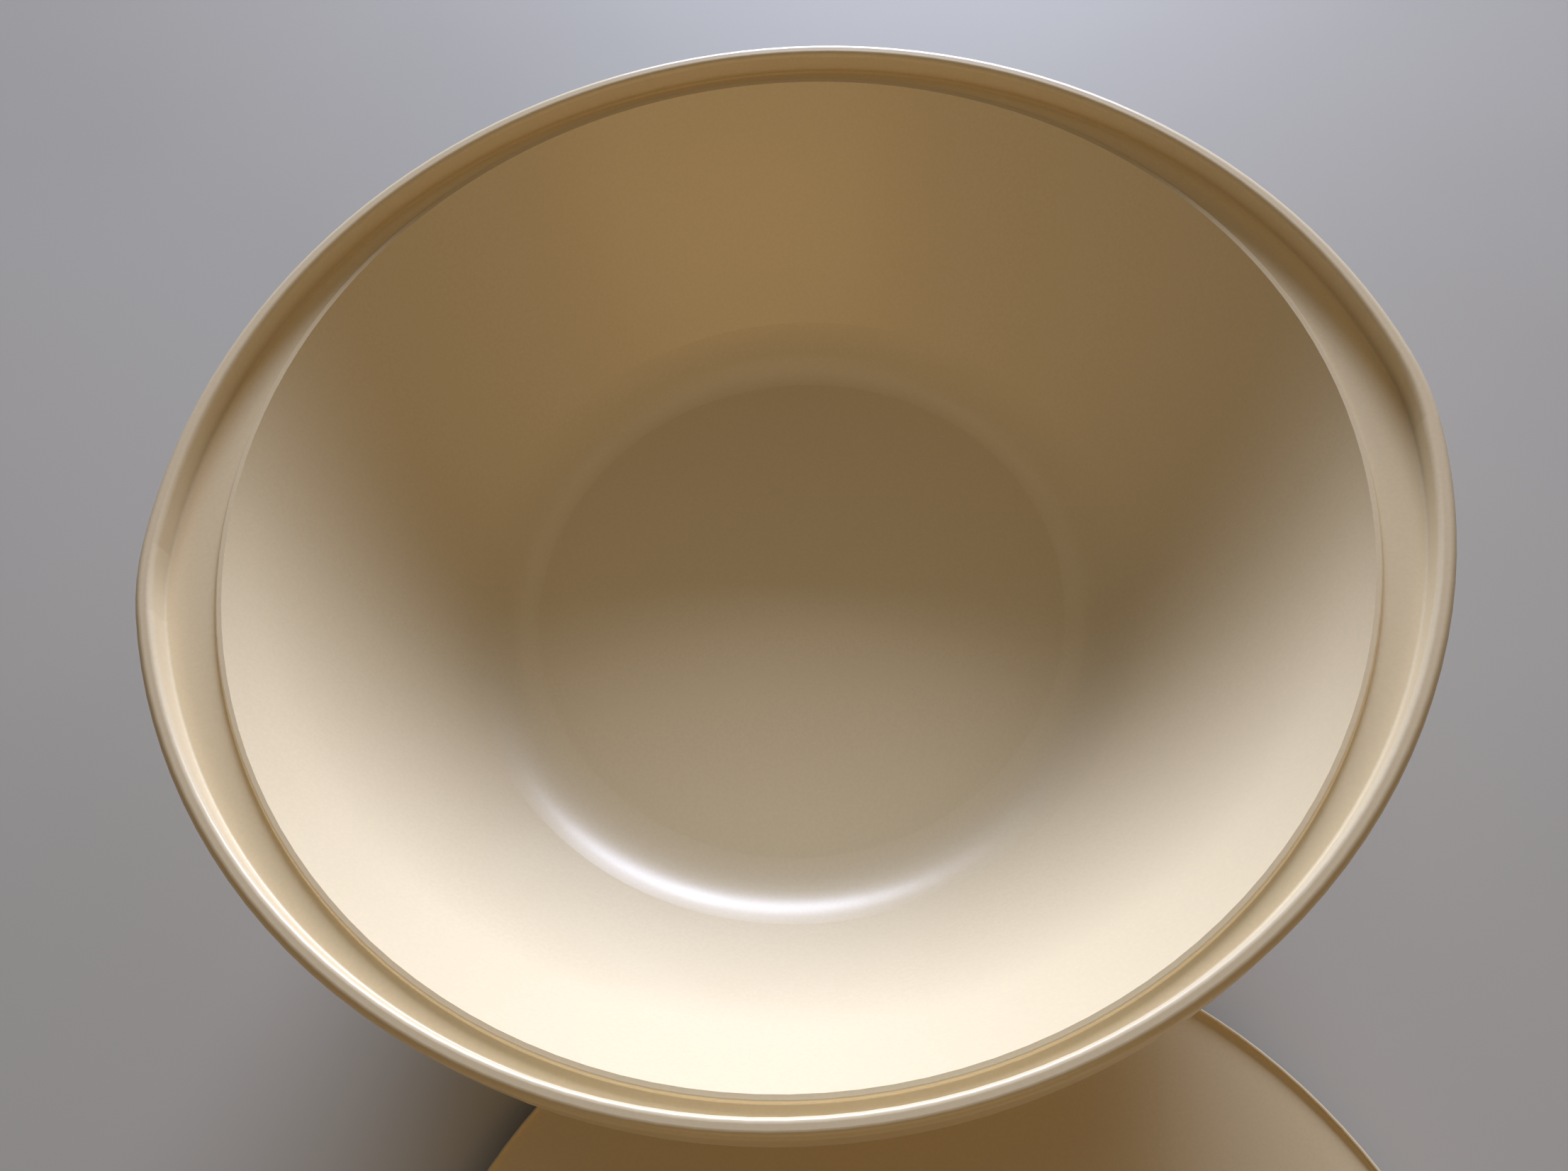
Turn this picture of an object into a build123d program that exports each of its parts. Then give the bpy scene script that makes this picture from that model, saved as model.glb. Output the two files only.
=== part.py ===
"""Rice bowl: a round basin with an oval rim, carried by a separate outer shell, with a loose lid beside it.

Millimetres, +Z up. The origin is the centre of the foot, on the surface that the bowl stands on. The rim's long
axis, with its two ears, lies along X. The lid lies on the same surface in front of the bowl, towards -Y.
"""

from build123d import *
import os
from math import hypot, sqrt

os.makedirs("parts", exist_ok=True)

# Overall sizes
opening_radius = 120.0  # inside the round crest
rim_height = 110.0  # top of the crest above the surface the bowl stands on
basin_depth = 51.0  # from the crest down to the basin's floor
wall = 2.4  # moulded wall of the basin and of the outer shell

# Basin
floor_radius = 64.0  # flat part of the basin's floor
floor_corner = 25.0  # inside radius between floor and wall
wall_turn = 40.0  # degrees the wall has risen by where the corner ends

# Crest and ledge round the opening
crest_width = 1.4
crest_height = 0.8  # crest above the ledge
crest_round = 0.5
ledge_fillet = 0.25  # where the crest meets the ledge
ledge_drop = 0.7  # fall of the ledge from the crest out to the ears
ledge_thickness = 2.2

# Oval lip: two equal arcs that cross at the ears
front_ledge = 2.6  # ledge between crest and lip at the front and back, where the oval is narrowest
lip_arc_offset = 9.2  # each arc's centre beyond the axis
ear_rounding = 65.0  # radius where the two arcs meet
lip_thickness = 3.8
lip_height = 5.0  # lip above the crest
lip_outer_round = 1.6
lip_inner_round = 1.2
groove_round = 0.5
skirt_thickness = 2.0
skirt_depth = 7.0  # skirt's lower edge below the crest
skirt_round = 0.8

# Outer shell
mouth_clearance = 0.8  # round the shell's mouth, inside the skirt
mouth_round = 0.7
seat_gap = 0.3  # under the ledge, at rest
foot_radius = 62.0
foot_width = 5.0
foot_height = 6.0  # shell's underside above the surface
foot_round = 1.2

# Lid
lid_clearance = 0.7  # inside the lip, where the oval is narrowest
lid_thickness = 1.9
lid_dish = 1.4  # how far the lid's top falls towards its middle
plug_clearance = 0.8  # plug ring's lower edge inside the basin's wall
plug_depth = 6.4
plug_thickness = 1.8
bead_width = 0.9
bead_height = 0.9
bead_round = 0.35
grip_radius = 21.0
grip_height = 15.0
grip_draft = 2.0  # the grip's top is this much smaller in radius
grip_round = 3.0
lid_gap = 4.8  # between the lid's edge and the shell beside it

crest_outer = opening_radius + crest_width
ledge_top = rim_height - crest_height  # where the ledge starts, beside the crest
floor_top = rim_height - basin_depth
lip_top = rim_height + lip_height
lip_front = crest_outer + front_ledge + lip_thickness  # the oval's half width
lip_arc_radius = lip_front + lip_arc_offset
ear_reach = hypot(lip_arc_radius, lip_arc_offset)  # beyond the ears, so that the ledge always meets the lip
ledge_low = ledge_top - ledge_drop
ledge_underside = ledge_low - ledge_thickness
skirt_bottom = rim_height - skirt_depth


def lip_outline(inset):
    """The lip's oval outline, moved inwards by inset."""
    arc_radius = lip_arc_radius - inset
    with BuildSketch(mode=Mode.PRIVATE) as oval:
        with Locations((0, lip_arc_offset)):
            Circle(arc_radius)
        with Locations((0, -lip_arc_offset)):
            Circle(arc_radius, mode=Mode.INTERSECT)
        fillet(oval.vertices(), ear_rounding - inset)
    return oval.sketch


# Inner bowl: basin, crest and ledge turned about the axis, then the oval lip with its short skirt
with BuildPart() as inner_bowl:
    with BuildSketch(Plane.XZ):
        with BuildLine():
            floor_line = Line((0, floor_top), (floor_radius, floor_top))
            corner = JernArc(floor_line @ 1, (1, 0), floor_corner, wall_turn)
            side = TangentArc(corner @ 1, (opening_radius, rim_height), tangent=corner % 1)
            offset(amount=wall, side=Side.RIGHT)
        make_face()
        with BuildLine():
            Polyline(
                (opening_radius, rim_height),
                (crest_outer, rim_height),
                (crest_outer, ledge_top),
                (ear_reach, ledge_low),
                (ear_reach, ledge_underside),
                (opening_radius - wall / 2, ledge_underside),
                close=True,
            )
        make_face()
    revolve(axis=Axis.Z)
    crest_edges = inner_bowl.edges().filter_by_position(Axis.Z, rim_height, rim_height)
    fillet(crest_edges, crest_round)
    ledge_start = inner_bowl.edges().filter_by_position(Axis.Z, ledge_top, ledge_top)
    fillet(ledge_start, ledge_fillet)
    with BuildSketch(Plane.XY):
        add(lip_outline(lip_thickness / 2))
    extrude(amount=lip_top, mode=Mode.INTERSECT)
    with BuildSketch(Plane.XY.offset(ledge_underside)):
        add(lip_outline(0))
        add(lip_outline(lip_thickness), mode=Mode.SUBTRACT)
    extrude(amount=lip_top - ledge_underside)
    with BuildSketch(Plane.XY.offset(skirt_bottom)):
        add(lip_outline(0))
        add(lip_outline(skirt_thickness), mode=Mode.SUBTRACT)
    extrude(amount=ledge_underside - skirt_bottom)
    lip_face = inner_bowl.faces().sort_by(Axis.Z)[-1]
    inner_edges = lip_face.inner_wires()[0].edges()
    outer_edges = lip_face.outer_wire().edges()
    fillet(outer_edges, lip_outer_round)
    fillet(inner_edges, lip_inner_round)
    groove = (
        inner_bowl.edges()
        .filter_by_position(Axis.Z, ledge_low, ledge_top)
        .filter_by(lambda edge: hypot(edge.center().X, edge.center().Y) > crest_outer + ledge_fillet)
    )
    fillet(groove, groove_round)
    skirt_edges = inner_bowl.edges().filter_by_position(Axis.Z, skirt_bottom, skirt_bottom)
    fillet(skirt_edges, skirt_round)
inner_bowl.part.label = "inner_bowl"
export_step(inner_bowl.part, "parts/inner_bowl.step")

# Outer shell: a round wall of one curve from its mouth, under the ledge, down to a flat bottom and a foot ring
shell_mouth = lip_front - skirt_thickness - mouth_clearance - wall
shell_top = ledge_underside - seat_gap
shell_floor = foot_height + wall
foot_inner = foot_radius - foot_width
with BuildPart() as outer_shell:
    with BuildSketch(Plane.XZ):
        with BuildLine():
            flank = TangentArc((shell_mouth, shell_top), (foot_inner, shell_floor), tangent=(0, -1))
            Line(flank @ 1, (0, shell_floor))
            offset(amount=wall, side=Side.LEFT)
        make_face()
        flank_centre = flank.arc_center
        middle_radius = flank.radius + wall / 2
        foot_outer_top = flank_centre.Y - sqrt(middle_radius**2 - (foot_radius - flank_centre.X) ** 2)
        with BuildLine():
            Polyline(
                (foot_inner, 0),
                (foot_radius, 0),
                (foot_radius, foot_outer_top),
                (foot_inner, shell_floor - wall / 2),
                close=True,
            )
        make_face()
    revolve(axis=Axis.Z)
    foot_edges = outer_shell.edges().filter_by_position(Axis.Z, 0, 0)
    fillet(foot_edges, foot_round)
    mouth_edges = outer_shell.edges().filter_by_position(Axis.Z, shell_top, shell_top)
    fillet(mouth_edges, mouth_round)
outer_shell.part.label = "outer_shell"
export_step(outer_shell.part, "parts/outer_shell.step")

# Lid: a dished disc that fits inside the lip and rests on the crest, with a plug ring under it and a hollow grip
lid_radius = lip_front - lip_thickness - lid_clearance
plug_bottom = rim_height - plug_depth  # where the plug ring's lower edge is when the lid is on the crest
basin_radius = side.arc_center.X + sqrt(side.radius**2 - (plug_bottom - side.arc_center.Y) ** 2)
plug_radius = basin_radius - plug_clearance
lid_rim = plug_depth + lid_thickness
lid_middle = lid_rim - lid_dish
grip_top = lid_middle + grip_height
lid_edge_top = lid_rim + bead_height
flank_reach = flank_centre.X + sqrt((flank.radius + wall) ** 2 - (flank_centre.Y - lid_edge_top) ** 2)
shell_reach = max(foot_radius, flank_reach)  # the shell's radius beside the lid's edge
lid_centre = Vector(0, -(shell_reach + lid_gap + lid_radius), 0)
with BuildPart() as lid:
    with BuildSketch(Plane(origin=lid_centre, x_dir=(1, 0, 0), z_dir=(0, -1, 0))):
        with BuildLine():
            TangentArc((0, lid_middle), (lid_radius, lid_rim), tangent=(1, 0))
            offset(amount=lid_thickness, side=Side.RIGHT)
        make_face()
        with Locations((lid_radius, lid_edge_top)):
            Rectangle(bead_width, bead_height + lid_thickness / 2, align=(Align.MAX, Align.MAX))
        with Locations((plug_radius, 0)):
            Rectangle(plug_thickness, lid_rim - lid_thickness / 2, align=(Align.MAX, Align.MIN))
        Rectangle(grip_radius - lid_thickness, grip_top, align=(Align.MIN, Align.MIN), mode=Mode.SUBTRACT)
        with BuildLine():
            Polyline(
                (grip_radius - lid_thickness, lid_middle - lid_thickness),
                (grip_radius, lid_middle - lid_thickness),
                (grip_radius - grip_draft, grip_top),
                (0, grip_top),
                (0, grip_top - lid_thickness),
                (grip_radius - grip_draft - lid_thickness, grip_top - lid_thickness),
                close=True,
            )
        make_face()
    revolve(axis=Axis(lid_centre, (0, 0, 1)))
    grip_edge = lid.edges().filter_by_position(Axis.Z, grip_top, grip_top)
    fillet(grip_edge, grip_round)
    bead_edges = lid.edges().filter_by_position(Axis.Z, lid_edge_top, lid_edge_top)
    fillet(bead_edges, bead_round)
lid.part.label = "lid"
export_step(lid.part, "parts/lid.step")
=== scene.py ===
"""Rice bowl: materials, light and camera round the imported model.

Metres, +Z up, origin under the middle of the foot.
"""

from math import cos, pi, radians, sin, tan

import bpy
from mathutils import Matrix, Vector


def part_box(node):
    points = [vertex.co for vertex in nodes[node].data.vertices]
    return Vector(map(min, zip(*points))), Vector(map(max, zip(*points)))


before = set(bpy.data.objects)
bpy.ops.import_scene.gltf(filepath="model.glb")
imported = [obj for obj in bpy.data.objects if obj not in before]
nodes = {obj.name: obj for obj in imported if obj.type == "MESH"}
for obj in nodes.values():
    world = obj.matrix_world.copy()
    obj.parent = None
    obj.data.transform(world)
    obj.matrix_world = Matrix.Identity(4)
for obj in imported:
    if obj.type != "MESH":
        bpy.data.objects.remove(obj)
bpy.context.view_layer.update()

# Places read from the frame
bowl_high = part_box("inner_bowl")[1]
LIP_ABOVE_CREST = 0.005
CREST_Z = bowl_high.z - LIP_ABOVE_CREST

# Camera
IMAGE_WIDTH = 2212
FOCAL_PIXELS = 1950
SENSOR = 36.0  # millimetres
CAMERA_TARGET = Vector((-0.0029, -0.0217, CREST_Z))
CAMERA_DISTANCE = 0.2818
CAMERA_ELEVATION = radians(62.5)
CAMERA_ROLL = radians(-8.59)
CLIP_START = 0.01  # nearer than the lip

# Lights: angles in degrees, seen from the middle of the crest, with azimuth from +Y towards +X
LIGHT_DISTANCE = 2.7
WINDOW = {
    "azimuth": 12, "elevation": 15, "width": 28, "height": 18,
    "color": (0.73, 0.79, 1.0), "strength": 41,
}
ROOM_BEHIND = {
    "azimuth": 180, "elevation": 35, "width": 60, "height": 30,
    "color": (1.0, 0.62, 0.22), "strength": 1.2,
}
CEILING = {
    "azimuth": 0, "elevation": 75, "width": 40, "height": 30,
    "color": (1.0, 0.85, 0.60), "strength": 1.2,
}
ROOM_COLOR = (0.86, 0.93, 1.0)
ROOM_STRENGTH = 0.05

# Moulded plastic: its colour and gloss, and the sizes in metres of what varies over its surface
CREAM = (0.86, 0.72, 0.48)
ROUGHNESS = 0.29
PLASTIC_IOR = 1.52
SPECKLE_SIZE = 0.0008
SPECKLE_DARK = 0.965  # of the colour
SPECKLE_DETAIL = 3.0
SMEAR_SIZE = 0.018
SMEAR_DEPTH = 0.03  # added to the roughness
SMEAR_DETAIL = 5.0
GRAIN_SIZE = 0.0009
GRAIN_DEPTH = 0.000004
GRAIN_DETAIL = 2.0
NOISE_LOW, NOISE_HIGH = 0.3, 0.7  # the part of the noise's range that a ramp uses

# Floor
FLOOR_DARK = (0.48, 0.465, 0.42)
FLOOR_PALE = (0.51, 0.495, 0.45)
FLOOR_PATCH = 0.25
FLOOR_DETAIL = 3.0
FLOOR_ROUGHNESS = 0.6
FLOOR_RADIUS = 6
FLOOR_SIDES = 96

# Places of the colours among the Mix node's sockets, which share their names
MIX_FIRST, MIX_SECOND, MIX_RESULT = 6, 7, 2


class Nodes:
    """A material's node tree, with short calls that add and link nodes."""

    def __init__(self, name):
        self.material = bpy.data.materials.new(name)
        self.material.use_nodes = True
        self.tree = self.material.node_tree
        self.shader = self.tree.nodes["Principled BSDF"]

    def add(self, kind, **values):
        node = self.tree.nodes.new(kind)
        for key, value in values.items():
            if hasattr(node, key):
                setattr(node, key, value)
            else:
                node.inputs[key.replace("_", " ")].default_value = value
        return node

    def link(self, source, target):
        self.tree.links.new(source, target)

    def place(self):
        """Object coordinates, in metres, which don't move when a body does."""
        return self.add("ShaderNodeTexCoord").outputs["Object"]

    def noise(self, place, size, detail):
        """Noise from 0 to 1, whose lumps are about size metres across."""
        node = self.add("ShaderNodeTexNoise", Scale=1 / size, Detail=detail)
        self.link(place, node.inputs["Vector"])
        return node.outputs["Fac"]

    def ramp(self, noise, to_low=0.0, to_high=1.0):
        """The middle of the noise's range, changed to a number from to_low to to_high."""
        node = self.add("ShaderNodeMapRange", interpolation_type="SMOOTHSTEP")
        node.inputs["From Min"].default_value = NOISE_LOW
        node.inputs["From Max"].default_value = NOISE_HIGH
        node.inputs["To Min"].default_value = to_low
        node.inputs["To Max"].default_value = to_high
        self.link(noise, node.inputs["Value"])
        return node.outputs["Result"]

    def mix(self, factor, first, second):
        node = self.add("ShaderNodeMix", data_type="RGBA")
        self.link(factor, node.inputs["Factor"])
        for socket, value in ((node.inputs[MIX_FIRST], first), (node.inputs[MIX_SECOND], second)):
            if isinstance(value, tuple):
                socket.default_value = (*value, 1)
            else:
                self.link(value, socket)
        return node.outputs[MIX_RESULT]

    def bump(self, height, distance):
        node = self.add("ShaderNodeBump", Strength=1.0, Distance=distance)
        self.link(height, node.inputs["Height"])
        self.link(node.outputs["Normal"], self.shader.inputs["Normal"])


def moulded_plastic(name):
    """Glossy cream plastic: fine speckle in the colour, slightly uneven gloss and a fine grain."""
    plastic = Nodes(name)
    place = plastic.place()
    dark = tuple(part * SPECKLE_DARK for part in CREAM)
    speckle = plastic.ramp(plastic.noise(place, SPECKLE_SIZE, SPECKLE_DETAIL))
    plastic.link(plastic.mix(speckle, dark, CREAM), plastic.shader.inputs["Base Color"])
    smears = plastic.noise(place, SMEAR_SIZE, SMEAR_DETAIL)
    gloss = plastic.ramp(smears, ROUGHNESS, ROUGHNESS + SMEAR_DEPTH)
    plastic.link(gloss, plastic.shader.inputs["Roughness"])
    plastic.bump(plastic.noise(place, GRAIN_SIZE, GRAIN_DETAIL), GRAIN_DEPTH)
    plastic.shader.inputs["IOR"].default_value = PLASTIC_IOR
    return plastic.material


def dress(node, material):
    slots = nodes[node].data.materials
    slots.clear()
    slots.append(material)


def floor():
    """A plain floor that the bowl stands on."""
    paint = Nodes("pale_floor")
    tone = paint.ramp(paint.noise(paint.place(), FLOOR_PATCH, FLOOR_DETAIL))
    paint.link(paint.mix(tone, FLOOR_DARK, FLOOR_PALE), paint.shader.inputs["Base Color"])
    paint.shader.inputs["Roughness"].default_value = FLOOR_ROUGHNESS
    bpy.ops.mesh.primitive_circle_add(vertices=FLOOR_SIDES, radius=FLOOR_RADIUS, fill_type="NGON")
    disc = bpy.context.object
    disc.name = "floor"
    disc.data.materials.append(paint.material)


def soft_light(name, azimuth, elevation, width, height, color, strength):
    """A rectangle that faces the bowl, lights it softly and isn't seen by the camera."""
    across = radians(azimuth)
    up = radians(elevation)
    direction = Vector((sin(across) * cos(up), cos(across) * cos(up), sin(up)))
    data = bpy.data.lights.new(name, "AREA")
    data.shape = "RECTANGLE"
    data.size = 2 * LIGHT_DISTANCE * tan(radians(width) / 2) * cos(up)
    data.size_y = 2 * LIGHT_DISTANCE * tan(radians(height) / 2)
    data.color = color
    data.energy = strength * pi * data.size * data.size_y
    lamp = bpy.data.objects.new(name, data)
    place = Vector((0, 0, CREST_Z)) + direction * LIGHT_DISTANCE
    lamp.matrix_world = Matrix.Translation(place) @ direction.to_track_quat("Z", "Y").to_matrix().to_4x4()
    lamp.visible_camera = False
    bpy.context.scene.collection.objects.link(lamp)


def room():
    """The faint light that comes from everywhere."""
    world = bpy.data.worlds.new("room")
    world.use_nodes = True
    background = world.node_tree.nodes["Background"]
    background.inputs["Color"].default_value = (*ROOM_COLOR, 1)
    background.inputs["Strength"].default_value = ROOM_STRENGTH
    bpy.context.scene.world = world


def camera():
    """Looks down into the bowl from close above its near edge, rolled a little."""
    back = Vector((0, -cos(CAMERA_ELEVATION), sin(CAMERA_ELEVATION)))
    level = Vector((1, 0, 0))
    up = back.cross(level)
    right = level * cos(CAMERA_ROLL) + up * sin(CAMERA_ROLL)
    top = up * cos(CAMERA_ROLL) - level * sin(CAMERA_ROLL)
    data = bpy.data.cameras.new("camera")
    data.sensor_width = SENSOR
    data.lens = SENSOR * FOCAL_PIXELS / IMAGE_WIDTH
    data.clip_start = CLIP_START
    view = bpy.data.objects.new("camera", data)
    view.matrix_world = Matrix.Translation(CAMERA_TARGET + back * CAMERA_DISTANCE) @ Matrix(
        (right, top, back)
    ).transposed().to_4x4()
    bpy.context.scene.collection.objects.link(view)
    bpy.context.scene.camera = view


camera()
soft_light("window", **WINDOW)
soft_light("room_behind", **ROOM_BEHIND)
soft_light("ceiling", **CEILING)
room()
floor()
dress("inner_bowl", moulded_plastic("bowl_plastic"))
dress("outer_shell", moulded_plastic("shell_plastic"))
dress("lid", moulded_plastic("lid_plastic"))
bpy.context.scene.view_settings.view_transform = "Standard"
